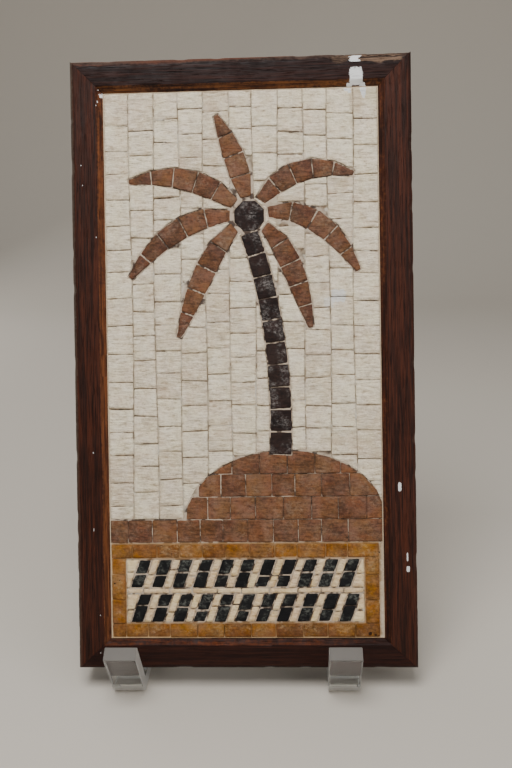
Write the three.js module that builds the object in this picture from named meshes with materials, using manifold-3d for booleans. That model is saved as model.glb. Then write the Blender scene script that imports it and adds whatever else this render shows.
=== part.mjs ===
// A framed stone mosaic panel, leaning back in a clear stand bent from one sheet.
// Millimetres, +Z up, +X to the right of someone facing the picture, +Y away from them.
// The panel's own pieces are drawn flat, as (across, up, out of the picture), and then leaned back.

import * as THREE from 'three';
import { mergeVertices } from 'three/addons/utils/BufferGeometryUtils.js';
import Module from 'manifold-3d';

const wasm = await Module();
wasm.setup();

// Frame
const PANEL_WIDTH = 170;
const PANEL_HEIGHT = 305;
const FRAME_DEPTH = 22;
const STILE_WIDTH = 16.4;
const TOP_RAIL_WIDTH = 16.4;
const BOTTOM_RAIL_WIDTH = 14.8;
const ROUND_OVER = 2.6;
const BEVEL_WIDTH = 3;
const BEVEL_DROP = 2.2;
const REBATE_WIDTH = 5;
const FRONT_LIP_THICKNESS = 8;
const PIECE_GAP = 0.3;
const ARC_STEPS = 4;

// Mortar bed and stones
const BED_RECESS = 3;
const FACE_SETBACK = 2;
const STONE_UNEVENNESS = 0.7;
const JOINT_DEPTH = 1.2;
const JOINT_WIDTH = 0.8;
const FIELD_COLUMNS = 11;
const STONE_LENGTH = 12.6;
const LENGTH_SPREAD = 0.26;
const EDGE_WANDER = 0.55;
const SMALLEST_STONE = 14;

// Inscribed plaque along the bottom
const BORDER_WIDTH = 7;
const PLAQUE_INSIDE_HEIGHT = 33;
const PLAQUE_MARGIN_LEFT = 0.4;
const PLAQUE_MARGIN_RIGHT = 2;
const BORDER_STONE_LENGTH = 12.4;
const STROKE_ROWS = 2;
const STROKES_IN_ROW = 11;
const STROKE_WIDTH = 5.6;
const STROKE_LEAN = THREE.MathUtils.degToRad(20);
const STROKE_ROW_GAP = 3.6;
const STROKE_EDGE_MARGIN = 0.2;
const STROKE_END_MARGIN = 1.8;

// Ground under the tree. Places in the picture are shares: across of the field's half width, from its
// middle, and up of the field's height, from its foot.
const COURSE_HEIGHT = 11.4;
const MOUND_COURSES = 3;
const MOUND_MIDDLE = 0.293;
const MOUND_HALF_WIDTH = 0.732;
const MOUND_ARC_STEPS = 14;

// Palm tree, its places given as shares in the same way
const TRUNK_WIDTH = 10.6;
const TRUNK_STONES = 10;
const TRUNK_TAPER = 0.82;
const TRUNK_FOOT = 0.264;
const TRUNK_BELLY = 0.307;
const CROWN = [0.059, 0.709];
const CROWN_RADIUS = 8;
const CROWN_SIDES = 8;
const FROND_WIDTH = 10.6;
const FROND_ROOT_WIDTH = 5.2;
const FROND_TIP_WIDTH = 2.2;
const FROND_WIDEST_AT = 0.35;
const FROND_STONE_LENGTH = 11.4;
// Each frond leaves the crown towards its shoulder and bends over to its tip.
const FRONDS = [
  { name: 'frond_top', shoulder: [-0.013, 0.838], tip: [-0.176, 0.943] },
  { name: 'frond_upper_right', shoulder: [0.401, 0.849], tip: [0.82, 0.802] },
  { name: 'frond_right', shoulder: [0.578, 0.738], tip: [0.849, 0.578] },
  { name: 'frond_lower_right', shoulder: [0.366, 0.637], tip: [0.498, 0.447] },
  { name: 'frond_upper_left', shoulder: [-0.39, 0.829], tip: [-0.82, 0.793] },
  { name: 'frond_left', shoulder: [-0.498, 0.715], tip: [-0.82, 0.569] },
  { name: 'frond_lower_left', shoulder: [-0.242, 0.634], tip: [-0.469, 0.4285] },
];

// Clear stand
const LEAN = THREE.MathUtils.degToRad(16);
const SHEET = 7;
const ARM_WIDTH = 15.8;
const ARM_SPACING = 108;
const STAND_OFFSET = -6;
const LIP_LENGTH = 32.6;
const LIP_ANGLE = THREE.MathUtils.degToRad(29);
const BEND_RADIUS = 0.8;
const TOP_BEND_RADIUS = 6;
const BACK_LENGTH = 150;
const REAR_REACH = 100;
const SLOT_HEIGHT = 30;
const BEND_STEPS = 5;

// Values that follow from the sizes above
const sight = {
  left: -PANEL_WIDTH / 2 + STILE_WIDTH + PIECE_GAP,
  right: PANEL_WIDTH / 2 - STILE_WIDTH - PIECE_GAP,
  bottom: BOTTOM_RAIL_WIDTH + PIECE_GAP,
  top: PANEL_HEIGHT - TOP_RAIL_WIDTH - PIECE_GAP,
};
const rebateDepth = FRAME_DEPTH - FRONT_LIP_THICKNESS;
const stoneBack = rebateDepth;
const stoneFace = FRAME_DEPTH - FACE_SETBACK;
const stoneThickness = stoneFace - stoneBack;
const mortarFace = stoneFace - JOINT_DEPTH;
const plaque = {
  left: sight.left + PLAQUE_MARGIN_LEFT,
  right: sight.right - PLAQUE_MARGIN_RIGHT,
  bottom: sight.bottom,
  top: sight.bottom + 2 * BORDER_WIDTH + PLAQUE_INSIDE_HEIGHT,
};
const groundBottom = plaque.top + JOINT_WIDTH;
const fieldBottom = groundBottom + COURSE_HEIGHT;
const moundHeight = MOUND_COURSES * COURSE_HEIGHT;
const halfWidth = (sight.right - sight.left) / 2;

// A place in the picture, from its shares of the field.
function place([across, up]) {
  const middle = (sight.left + sight.right) / 2;
  return new THREE.Vector2(middle + across * halfWidth, fieldBottom + up * (sight.top - fieldBottom));
}

const crownCentre = place(CROWN);

// A repeatable number from 0 to 1 for a stone or a joint, the same on every run.
function scatter(seed) {
  const value = Math.sin(seed * 12.9898 + 4.1414) * 43758.5453;
  return value - Math.floor(value);
}

function asSolid(geometry) {
  const bare = geometry.clone();
  bare.deleteAttribute('normal');
  bare.deleteAttribute('uv');
  const merged = mergeVertices(bare, 1e-5);
  return new wasm.Manifold(new wasm.Mesh({
    numProp: 3,
    vertProperties: Float32Array.from(merged.attributes.position.array),
    triVerts: Uint32Array.from(merged.index.array),
  }));
}

function asGeometry(solid) {
  const mesh = solid.getMesh();
  const geometry = new THREE.BufferGeometry();
  geometry.setAttribute('position', new THREE.BufferAttribute(Float32Array.from(mesh.vertProperties), 3));
  geometry.setIndex(new THREE.BufferAttribute(Uint32Array.from(mesh.triVerts), 1));
  const flat = geometry.toNonIndexed();
  flat.computeVertexNormals();
  return flat;
}

// A flat outline raised from one depth of the panel to another.
function prism(outline, from, to) {
  const shape = new THREE.Shape(outline.map(([across, up]) => new THREE.Vector2(across, up)));
  const geometry = new THREE.ExtrudeGeometry(shape, { depth: to - from, bevelEnabled: false });
  return asSolid(geometry.translate(0, 0, from));
}

function rectangle(left, right, bottom, top) {
  return [[left, bottom], [right, bottom], [right, top], [left, top]];
}

function joined(solids) {
  return wasm.Manifold.union(solids);
}

// A stone's face lies a little above or below its neighbours'.
function stone(outline, seed) {
  const face = stoneFace + STONE_UNEVENNESS * (scatter(seed) - 0.5);
  return prism(outline, stoneBack, face);
}

// The mortar between the stones of one colour, which ties them into one piece.
function mortar(outline) {
  return prism(outline, stoneBack, mortarFace);
}

// A through cut, taller than any stone.
function cutter(outline) {
  return prism(outline, stoneBack - 1, stoneFace + STONE_UNEVENNESS + 1);
}

// What is left of each stone after a cut, without the slivers that a mosaicist would throw away.
function trimmed(stones, cut) {
  const kept = [];
  for (const whole of stones) {
    for (const part of whole.subtract(cut).decompose()) {
      if (part.volume() > SMALLEST_STONE * stoneThickness) kept.push(part);
    }
  }
  return kept;
}

// Rows or columns of stones

// The line between two columns wanders a little as it rises.
function columnEdge(columns, column, up, left, right) {
  const straight = left + (right - left) * column / columns;
  if (column === 0 || column === columns) return straight;
  return straight + EDGE_WANDER * Math.sin(up / 31 + column * 2.4) + EDGE_WANDER * (scatter(column) - 0.5);
}

// Upright columns of roughly square stones, their cross joints staggered from one to the next.
function columnStones(columns, left, right, bottom, top, stoneLength, seed) {
  const stones = [];
  const half = JOINT_WIDTH / 2;
  for (let column = 0; column < columns; column += 1) {
    let low = bottom;
    let lowTilt = 0;
    let count = 0;
    while (low < top) {
      const key = seed + column * 61 + count;
      const whole = stoneLength * (1 + LENGTH_SPREAD * (scatter(key) - 0.5));
      const first = count === 0 ? 0.45 + 0.55 * scatter(seed + column * 7) : 1;
      let high = low + whole * first;
      let highTilt = EDGE_WANDER * (scatter(key + 0.5) - 0.5);
      if (high > top - stoneLength * 0.4) {
        high = top;
        highTilt = 0;
      }
      const edge = (side, up) => columnEdge(columns, column + side, up, left, right);
      stones.push(stone([
        [edge(0, low) + half, low - lowTilt + half],
        [edge(1, low) - half, low + lowTilt + half],
        [edge(1, high) - half, high + highTilt - half],
        [edge(0, high) + half, high - highTilt - half],
      ], key));
      low = high;
      lowTilt = highTilt;
      count += 1;
    }
  }
  return stones;
}

// One level course of stones between two ends.
function courseStones(left, right, bottom, top, stoneLength, seed, stagger) {
  const stones = [];
  const half = JOINT_WIDTH / 2;
  let start = left;
  let count = 0;
  while (start < right) {
    const whole = stoneLength * (1 + LENGTH_SPREAD * (scatter(seed + count) - 0.5));
    let end = start + whole * (count === 0 ? stagger : 1);
    if (end > right - stoneLength * 0.4) end = right;
    const slant = EDGE_WANDER * (scatter(seed + count + 0.5) - 0.5);
    stones.push(stone([
      [start + half, bottom + half],
      [end - half, bottom + half],
      [end - half + (end === right ? 0 : slant), top - half],
      [start + half, top - half],
    ], seed + count));
    start = end;
    count += 1;
  }
  return stones;
}

// Bands of stones that follow a curve

// Points of a band's two sides, square to its centre line, at equal steps along it.
function bandSides(curve, steps, widthAt, extra) {
  const left = [];
  const right = [];
  for (let step = 0; step <= steps; step += 1) {
    const share = step / steps;
    const middle = curve.getPointAt(share);
    const along = curve.getTangentAt(share);
    const half = widthAt(share) / 2 + extra;
    const end = step === 0 ? -extra : step === steps ? extra : 0;
    left.push([middle.x - along.y * half + along.x * end, middle.y + along.x * half + along.y * end]);
    right.push([middle.x + along.y * half + along.x * end, middle.y - along.x * half + along.y * end]);
  }
  return { left, right };
}

function bandOutline(sides) {
  return [...sides.right, ...[...sides.left].reverse()];
}

// The stones of a band: one between each pair of steps, less half a joint at each end.
function bandStones(curve, steps, widthAt, seed) {
  const sides = bandSides(curve, steps, widthAt, 0);
  const share = (from, to, part) => [from[0] + (to[0] - from[0]) * part, from[1] + (to[1] - from[1]) * part];
  const joint = JOINT_WIDTH / 2 / (curve.getLength() / steps);
  const stones = [];
  for (let step = 0; step < steps; step += 1) {
    const start = step === 0 ? 0 : joint;
    const end = step === steps - 1 ? 1 : 1 - joint;
    stones.push(stone([
      share(sides.right[step], sides.right[step + 1], start),
      share(sides.right[step], sides.right[step + 1], end),
      share(sides.left[step], sides.left[step + 1], end),
      share(sides.left[step], sides.left[step + 1], start),
    ], seed + step));
  }
  return stones;
}

function band(curve, steps, widthAt, seed) {
  const outline = bandOutline(bandSides(curve, steps, widthAt, 0));
  const wide = bandOutline(bandSides(curve, steps, widthAt, JOINT_WIDTH));
  return {
    solid: joined([mortar(outline), ...bandStones(curve, steps, widthAt, seed)]),
    cut: cutter(wide),
  };
}

// The palm tree

// A point at a distance from the crown's centre, towards another point.
function fromCrown(distance, towards) {
  return towards.clone().sub(crownCentre).setLength(distance).add(crownCentre);
}

// A frond is narrow at its root, full in its first third and drawn out to a blunt tip.
function frondWidth(share) {
  if (share < FROND_WIDEST_AT) {
    const rise = Math.sin(share / FROND_WIDEST_AT * Math.PI / 2);
    return FROND_ROOT_WIDTH + (FROND_WIDTH - FROND_ROOT_WIDTH) * rise;
  }
  const fall = (share - FROND_WIDEST_AT) / (1 - FROND_WIDEST_AT);
  return FROND_WIDTH + (FROND_TIP_WIDTH - FROND_WIDTH) * fall ** 2;
}

function frond({ shoulder, tip }, seed) {
  const bend = place(shoulder);
  const root = fromCrown(CROWN_RADIUS + 2 * JOINT_WIDTH, bend);
  const curve = new THREE.QuadraticBezierCurve(root, bend, place(tip));
  const steps = Math.max(3, Math.round(curve.getLength() / FROND_STONE_LENGTH));
  return band(curve, steps, frondWidth, seed);
}

function trunk() {
  const foot = place([TRUNK_FOOT, 0]).setY(fieldBottom + moundHeight - 2 * JOINT_WIDTH);
  const belly = place([TRUNK_BELLY, 0]).setY((foot.y + crownCentre.y) / 2);
  const head = fromCrown(CROWN_RADIUS + JOINT_WIDTH, place([CROWN[0], 0]));
  const width = (share) => TRUNK_WIDTH * (1 - (1 - TRUNK_TAPER) * share);
  return band(new THREE.QuadraticBezierCurve(foot, belly, head), TRUNK_STONES, width, 500);
}

function crownOutline(radius) {
  const outline = [];
  for (let side = 0; side < CROWN_SIDES; side += 1) {
    const angle = 2 * Math.PI * (side + 0.5) / CROWN_SIDES;
    outline.push([crownCentre.x + radius * Math.cos(angle), crownCentre.y + radius * Math.sin(angle)]);
  }
  return outline;
}

function crown() {
  return {
    solid: stone(crownOutline(CROWN_RADIUS), 540),
    cut: cutter(crownOutline(CROWN_RADIUS + JOINT_WIDTH)),
  };
}

// The ground: one full course with a low round mound on it

function moundOutline(extra) {
  const outline = [];
  for (let step = 0; step <= MOUND_ARC_STEPS; step += 1) {
    const angle = Math.PI * step / MOUND_ARC_STEPS;
    const across = (MOUND_MIDDLE + MOUND_HALF_WIDTH * Math.cos(angle)) * halfWidth + extra * Math.cos(angle);
    outline.push([
      Math.min(across, sight.right),
      fieldBottom - JOINT_WIDTH + (moundHeight + JOINT_WIDTH + extra) * Math.sin(angle),
    ]);
  }
  return outline;
}

function ground(treeCut) {
  const courses = courseStones(sight.left, sight.right, groundBottom, fieldBottom, STONE_LENGTH, 600, 0.7);
  const mound = [];
  for (let row = 0; row < MOUND_COURSES; row += 1) {
    const low = fieldBottom + row * COURSE_HEIGHT;
    const left = (MOUND_MIDDLE - MOUND_HALF_WIDTH) * halfWidth;
    mound.push(...courseStones(left, sight.right, low, low + COURSE_HEIGHT, STONE_LENGTH, 630 + 30 * row,
      row % 2 === 0 ? 1 : 0.5));
  }
  const shape = cutter(moundOutline(0));
  const inside = trimmed(mound.map((whole) => whole.intersect(shape)), treeCut);
  const web = joined([
    mortar(rectangle(sight.left, sight.right, groundBottom, fieldBottom - JOINT_WIDTH / 2)),
    mortar(moundOutline(0)),
  ]);
  return joined([web.subtract(treeCut), ...courses, ...inside]);
}

// The cream field is laid in columns and cut round everything else in the picture.
function field(pictureCut) {
  const bottom = fieldBottom + JOINT_WIDTH / 2;
  const stones = columnStones(FIELD_COLUMNS, sight.left, sight.right, bottom, sight.top, STONE_LENGTH, 10);
  const web = mortar(rectangle(sight.left, sight.right, bottom, sight.top)).subtract(pictureCut);
  return joined([web, ...trimmed(stones, pictureCut)]);
}

// The plaque: an ochre border round a cream ground with rows of slanted strokes

function border() {
  const inner = {
    left: plaque.left + BORDER_WIDTH,
    right: plaque.right - BORDER_WIDTH,
    bottom: plaque.bottom + BORDER_WIDTH,
    top: plaque.top - BORDER_WIDTH,
  };
  const ring = mortar(rectangle(plaque.left, plaque.right, plaque.bottom, plaque.top))
    .subtract(cutter(rectangle(inner.left, inner.right, inner.bottom, inner.top)));
  const stones = [
    ...courseStones(plaque.left, plaque.right, inner.top, plaque.top, BORDER_STONE_LENGTH, 700, 0.8),
    ...courseStones(plaque.left, plaque.right, plaque.bottom, inner.bottom, BORDER_STONE_LENGTH, 730, 0.6),
    ...columnStones(1, plaque.left, inner.left, inner.bottom, inner.top, BORDER_STONE_LENGTH, 760),
    ...columnStones(1, inner.right, plaque.right, inner.bottom, inner.top, BORDER_STONE_LENGTH, 790),
  ];
  return joined([ring, ...stones]);
}

const writing = {
  left: plaque.left + BORDER_WIDTH + JOINT_WIDTH,
  right: plaque.right - BORDER_WIDTH - JOINT_WIDTH,
  bottom: plaque.bottom + BORDER_WIDTH + JOINT_WIDTH,
  top: plaque.top - BORDER_WIDTH - JOINT_WIDTH,
};

const strokeHeight =
  (writing.top - writing.bottom - 2 * STROKE_EDGE_MARGIN - (STROKE_ROWS - 1) * STROKE_ROW_GAP) / STROKE_ROWS;
const strokeSlope = Math.tan(STROKE_LEAN);

function rowBottom(row) {
  return writing.bottom + STROKE_EDGE_MARGIN + row * (strokeHeight + STROKE_ROW_GAP);
}

// Where a stroke's lower left corner lies along its row.
function strokePlace(place) {
  const first = writing.left + STROKE_END_MARGIN;
  const last = writing.right - STROKE_END_MARGIN - STROKE_WIDTH - strokeHeight * strokeSlope;
  return first + (last - first) * place / (STROKES_IN_ROW - 1);
}

// A slanted stroke's outline, widened all round by a joint when it is a cut.
function strokeOutline(across, bottom, top, extra) {
  const side = extra / Math.cos(STROKE_LEAN);
  const low = bottom - extra;
  const high = top + extra;
  return [
    [across - side - extra * strokeSlope, low],
    [across + STROKE_WIDTH + side - extra * strokeSlope, low],
    [across + STROKE_WIDTH + side + (high - bottom) * strokeSlope, high],
    [across - side + (high - bottom) * strokeSlope, high],
  ];
}

function strokes() {
  const pieces = [];
  for (let row = 0; row < STROKE_ROWS; row += 1) {
    const bottom = rowBottom(row);
    const top = bottom + strokeHeight;
    for (let place = 0; place < STROKES_IN_ROW; place += 1) {
      const seed = 800 + row * 40 + place;
      const across = strokePlace(place);
      const split = bottom + strokeHeight * (0.4 + 0.2 * scatter(seed));
      const splitRun = (split - bottom) * strokeSlope;
      const half = JOINT_WIDTH / 2;
      pieces.push({
        name: `dark_stroke_row${row + 1}_${place + 1}`,
        solid: joined([
          mortar(strokeOutline(across, bottom, top, 0)),
          stone(strokeOutline(across, bottom, split - half, 0), seed),
          stone(strokeOutline(across + splitRun, split + half, top, 0), seed + 20),
        ]),
        cut: cutter(strokeOutline(across, bottom, top, JOINT_WIDTH)),
      });
    }
  }
  return pieces;
}

// Two cream stones, one over the other, in the space before a stroke or after the last one.
function fillerStones(row, place) {
  const seed = 900 + row * 40 + place;
  const bottom = rowBottom(row);
  const split = bottom + strokeHeight * (0.35 + 0.3 * scatter(seed));
  const half = JOINT_WIDTH / 2;
  const side = JOINT_WIDTH / Math.cos(STROKE_LEAN);
  const afterStroke = place === 0 ? null : strokePlace(place - 1) + STROKE_WIDTH + side;
  const beforeStroke = place === STROKES_IN_ROW ? null : strokePlace(place) - side;
  const left = (up) => (afterStroke === null ? writing.left : afterStroke + (up - bottom) * strokeSlope);
  const right = (up) => (beforeStroke === null ? writing.right : beforeStroke + (up - bottom) * strokeSlope);
  const filler = (low, high, key) => stone([
    [left(low), low],
    [right(low), low],
    [right(high), high],
    [left(high), high],
  ], key);
  return [filler(bottom, split - half, seed), filler(split + half, bottom + strokeHeight, seed + 20)];
}

function plaqueGround(cut) {
  const stones = [];
  for (let row = 0; row < STROKE_ROWS; row += 1) {
    for (let place = 0; place <= STROKES_IN_ROW; place += 1) stones.push(...fillerStones(row, place));
  }
  for (let row = 1; row < STROKE_ROWS; row += 1) {
    const low = rowBottom(row) - STROKE_ROW_GAP + JOINT_WIDTH / 2;
    const high = rowBottom(row) - JOINT_WIDTH / 2;
    stones.push(...courseStones(writing.left, writing.right, low, high, STONE_LENGTH, 980 + row * 20, 0.7));
  }
  const web = mortar(rectangle(writing.left, writing.right, writing.bottom, writing.top)).subtract(cut);
  return joined([web, ...stones]);
}

// The frame's four mitred lengths of moulding and the bed they hold

// The moulding's section: rounded outer edge, flat face, worn inner bevel and a rebate behind it.
function mouldingSection(width) {
  const section = new THREE.Shape();
  section.moveTo(0, 0);
  section.lineTo(width - REBATE_WIDTH, 0);
  section.lineTo(width - REBATE_WIDTH, rebateDepth);
  section.lineTo(width, rebateDepth);
  section.lineTo(width, FRAME_DEPTH - BEVEL_DROP);
  section.lineTo(width - BEVEL_WIDTH, FRAME_DEPTH);
  section.absarc(ROUND_OVER, FRAME_DEPTH - ROUND_OVER, ROUND_OVER, Math.PI / 2, Math.PI, false);
  section.lineTo(0, 0);
  return section;
}

// A length of moulding from an outer corner, its ends mitred to meet neighbours of their own widths.
function moulding({ corner, across, along, length, width, startWidth, endWidth }) {
  const geometry = new THREE.ExtrudeGeometry(mouldingSection(width), {
    depth: 1,
    bevelEnabled: false,
    curveSegments: ARC_STEPS,
  });
  const places = geometry.attributes.position;
  for (let index = 0; index < places.count; index += 1) {
    const inwards = places.getX(index);
    const outwards = places.getY(index);
    const start = inwards * startWidth / width + PIECE_GAP;
    const end = length - inwards * endWidth / width - PIECE_GAP;
    const distance = places.getZ(index) < 0.5 ? start : end;
    places.setXYZ(
      index,
      corner[0] + across[0] * inwards + along[0] * distance,
      corner[1] + across[1] * inwards + along[1] * distance,
      outwards,
    );
  }
  return asSolid(geometry);
}

function mouldings() {
  const half = PANEL_WIDTH / 2;
  return [
    {
      name: 'frame_left_stile', corner: [-half, PANEL_HEIGHT], across: [1, 0], along: [0, -1],
      length: PANEL_HEIGHT, width: STILE_WIDTH, startWidth: TOP_RAIL_WIDTH, endWidth: BOTTOM_RAIL_WIDTH,
    },
    {
      name: 'frame_right_stile', corner: [half, 0], across: [-1, 0], along: [0, 1],
      length: PANEL_HEIGHT, width: STILE_WIDTH, startWidth: BOTTOM_RAIL_WIDTH, endWidth: TOP_RAIL_WIDTH,
    },
    {
      name: 'frame_top_rail', corner: [half, PANEL_HEIGHT], across: [0, -1], along: [-1, 0],
      length: PANEL_WIDTH, width: TOP_RAIL_WIDTH, startWidth: STILE_WIDTH, endWidth: STILE_WIDTH,
    },
    {
      name: 'frame_bottom_rail', corner: [-half, 0], across: [0, 1], along: [1, 0],
      length: PANEL_WIDTH, width: BOTTOM_RAIL_WIDTH, startWidth: STILE_WIDTH, endWidth: STILE_WIDTH,
    },
  ].map((rail) => ({ name: rail.name, solid: moulding(rail) }));
}

// The bed fills the rebate behind the frame's lip, and the stones stand on it.
function mortarBed() {
  const overlap = REBATE_WIDTH - 2 * PIECE_GAP;
  const outline = rectangle(
    sight.left - overlap,
    sight.right + overlap,
    sight.bottom - overlap,
    sight.top + overlap,
  );
  return prism(outline, BED_RECESS, rebateDepth - PIECE_GAP);
}

// The stand's side view, as (back, up), before the whole is centred

function crossing(pointA, directionA, pointB, directionB) {
  const along = (pointB.clone().sub(pointA)).cross(directionB) / directionA.cross(directionB);
  return pointA.clone().addScaledVector(directionA, along);
}

// The panel's lower back edge is held clear of the stand's rounded rear bend.
const backGap = PIECE_GAP + BEND_RADIUS * Math.tan((Math.PI / 2 - LEAN) / 2) * Math.cos(LEAN);
const panelFoot = new THREE.Vector2(0, SHEET + PIECE_GAP);

function standCentreLine() {
  const flat = new THREE.Vector2(1, 0);
  const upLip = new THREE.Vector2(-Math.sin(LIP_ANGLE), Math.cos(LIP_ANGLE));
  const outOfLip = new THREE.Vector2(-Math.cos(LIP_ANGLE), -Math.sin(LIP_ANGLE));
  const upBack = new THREE.Vector2(Math.sin(LEAN), Math.cos(LEAN));
  const behindBack = new THREE.Vector2(Math.cos(LEAN), -Math.sin(LEAN));
  const panelFrontEdge = panelFoot.clone().addScaledVector(behindBack, -FRAME_DEPTH);
  const onLip = panelFrontEdge.clone().addScaledVector(outOfLip, PIECE_GAP + SHEET / 2);
  const onBack = panelFoot.clone().addScaledVector(behindBack, backGap + SHEET / 2);
  const onLedge = new THREE.Vector2(0, SHEET / 2);
  const frontCorner = crossing(onLedge, flat, onLip, upLip);
  const rearCorner = crossing(onLedge, flat, onBack, upBack);
  const topCorner = rearCorner.clone().addScaledVector(upBack, BACK_LENGTH);
  const rearFoot = new THREE.Vector2(REAR_REACH, 0);
  const downLeg = rearFoot.clone().sub(topCorner).normalize();
  return [
    frontCorner.clone().addScaledVector(upLip, LIP_LENGTH),
    frontCorner,
    rearCorner,
    topCorner,
    rearFoot.addScaledVector(downLeg, SHEET),
  ];
}

// The centre line with each corner rounded, as points with the direction that the sheet runs there.
function bentLine(corners, radii) {
  const stations = [];
  const heading = (from, to) => to.clone().sub(from).normalize();
  stations.push({ point: corners[0], along: heading(corners[0], corners[1]) });
  for (let index = 1; index < corners.length - 1; index += 1) {
    const before = heading(corners[index - 1], corners[index]);
    const after = heading(corners[index], corners[index + 1]);
    const turn = Math.atan2(before.cross(after), before.dot(after));
    const radius = radii[index - 1] + SHEET / 2;
    const start = corners[index].clone().addScaledVector(before, -radius * Math.tan(Math.abs(turn) / 2));
    const side = Math.sign(turn);
    const centre = start.clone().add(new THREE.Vector2(-before.y, before.x).multiplyScalar(side * radius));
    for (let step = 0; step <= BEND_STEPS; step += 1) {
      const part = turn * step / BEND_STEPS;
      stations.push({
        point: start.clone().rotateAround(centre, part),
        along: before.clone().rotateAround(new THREE.Vector2(), part),
      });
    }
  }
  const last = corners.length - 1;
  stations.push({ point: corners[last], along: heading(corners[last - 1], corners[last]) });
  return stations;
}

function box(low, high) {
  const size = high.map((value, axis) => value - low[axis]);
  const middle = high.map((value, axis) => (value + low[axis]) / 2);
  return asSolid(new THREE.BoxGeometry(...size).translate(...middle));
}

function stand() {
  const corners = standCentreLine();
  const stations = bentLine(corners, [BEND_RADIUS, BEND_RADIUS, TOP_BEND_RADIUS]);
  const side = (offset) => stations.map(({ point, along }) => (
    new THREE.Vector2(point.x - along.y * offset, point.y + along.x * offset)
  ));
  const section = new THREE.Shape([...side(-SHEET / 2), ...side(SHEET / 2).reverse()]);
  const width = ARM_SPACING + ARM_WIDTH;
  const geometry = new THREE.ExtrudeGeometry(section, { depth: width, bevelEnabled: false });
  // The section's (x, y) become (back, up), and the extrusion runs across the stand.
  const turned = new THREE.Matrix4().makeBasis(
    new THREE.Vector3(0, 1, 0),
    new THREE.Vector3(0, 0, 1),
    new THREE.Vector3(1, 0, 0),
  );
  geometry.applyMatrix4(turned).translate(STAND_OFFSET - width / 2, 0, 0);

  const slotHalf = (ARM_SPACING - ARM_WIDTH) / 2;
  const behindBend = corners[2].x + SLOT_HEIGHT;
  const inFront = corners[0].x - 2 * SHEET;
  const slot = box(
    [STAND_OFFSET - slotHalf, inFront, -SHEET],
    [STAND_OFFSET + slotHalf, behindBend, SLOT_HEIGHT + SHEET],
  );
  const belowTable = box([STAND_OFFSET - width, inFront, -2 * SHEET], [STAND_OFFSET + width, 2 * REAR_REACH, 0]);
  return asSolid(geometry).subtract(slot).subtract(belowTable);
}

// Colours and finishes
const finish = (color, roughness, metalness = 0) => new THREE.MeshStandardMaterial({ color, roughness, metalness });
const FRAME_WOOD = finish(0x3c231c, 0.45);
const MORTAR = finish(0xb9b3a2, 0.95);
const CREAM = finish(0xd2c8b2, 0.85);
const TERRACOTTA = finish(0xa06c4e, 0.85);
const DARK = finish(0x3a3030, 0.7);
const OCHRE = finish(0xaa7328, 0.8);
const CLEAR = new THREE.MeshStandardMaterial({ color: 0xf2f6f6, roughness: 0.05, transparent: true, opacity: 0.3 });

function piece(name, solid, material) {
  const mesh = new THREE.Mesh(asGeometry(solid), material);
  mesh.name = name;
  return mesh;
}

const palmTrunk = trunk();
const palmCrown = crown();
const palmFronds = FRONDS.map((frondShape, index) => ({ name: frondShape.name, ...frond(frondShape, 100 + 40 * index) }));
const inscription = strokes();
const treeCut = joined([palmTrunk.cut, palmCrown.cut, ...palmFronds.map((one) => one.cut)]);
const pictureCut = joined([treeCut, cutter(moundOutline(JOINT_WIDTH))]);

const panel = new THREE.Group();
panel.rotation.x = Math.PI / 2 - LEAN;
panel.position.set(0, panelFoot.x, panelFoot.y);
for (const rail of mouldings()) panel.add(piece(rail.name, rail.solid, FRAME_WOOD));
panel.add(piece('mortar_bed', mortarBed(), MORTAR));
panel.add(piece('cream_field', field(pictureCut), CREAM));
panel.add(piece('terracotta_ground', ground(treeCut), TERRACOTTA));
panel.add(piece('palm_trunk', palmTrunk.solid, DARK));
panel.add(piece('palm_crown', palmCrown.solid, DARK));
for (const one of palmFronds) panel.add(piece(one.name, one.solid, TERRACOTTA));
panel.add(piece('ochre_border', border(), OCHRE));
panel.add(piece('plaque_ground', plaqueGround(joined(inscription.map((one) => one.cut))), CREAM));
for (const one of inscription) panel.add(piece(one.name, one.solid, DARK));

const object = new THREE.Group();
object.add(panel, piece('clear_stand', stand(), CLEAR));

// The origin is on the table, under the middle of the whole object.
object.updateMatrixWorld(true);
const reach = new THREE.Box3().setFromObject(object, true);
object.position.y = -(reach.min.y + reach.max.y) / 2;

export default object;
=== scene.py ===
"""A framed stone mosaic leaning in a clear bent stand, dressed round its solids. Metres, +Z up."""

import math

import bpy
import numpy as np
from mathutils.geometry import delaunay_2d_cdt
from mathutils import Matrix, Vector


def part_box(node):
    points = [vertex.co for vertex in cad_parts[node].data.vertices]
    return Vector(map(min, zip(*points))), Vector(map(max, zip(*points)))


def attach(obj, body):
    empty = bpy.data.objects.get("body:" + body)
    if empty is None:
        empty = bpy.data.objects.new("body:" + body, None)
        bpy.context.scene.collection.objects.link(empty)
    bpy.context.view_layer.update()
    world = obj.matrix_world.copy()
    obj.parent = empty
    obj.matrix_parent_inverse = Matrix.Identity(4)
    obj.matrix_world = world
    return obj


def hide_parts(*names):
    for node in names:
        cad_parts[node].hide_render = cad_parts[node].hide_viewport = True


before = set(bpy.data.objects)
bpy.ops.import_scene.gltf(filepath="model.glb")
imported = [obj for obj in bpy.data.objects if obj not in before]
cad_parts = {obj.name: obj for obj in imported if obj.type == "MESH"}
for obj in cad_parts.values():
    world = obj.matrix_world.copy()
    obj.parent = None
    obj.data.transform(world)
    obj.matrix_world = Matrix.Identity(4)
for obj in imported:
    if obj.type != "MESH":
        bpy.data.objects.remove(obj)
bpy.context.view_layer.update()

MM = 0.001

# The panel's own directions: across, up its face and out of the picture
LEAN = math.radians(16)
AXES = np.array([
    [1, 0, 0],
    [0, math.sin(LEAN), math.cos(LEAN)],
    [0, -math.cos(LEAN), math.sin(LEAN)],
])

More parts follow.
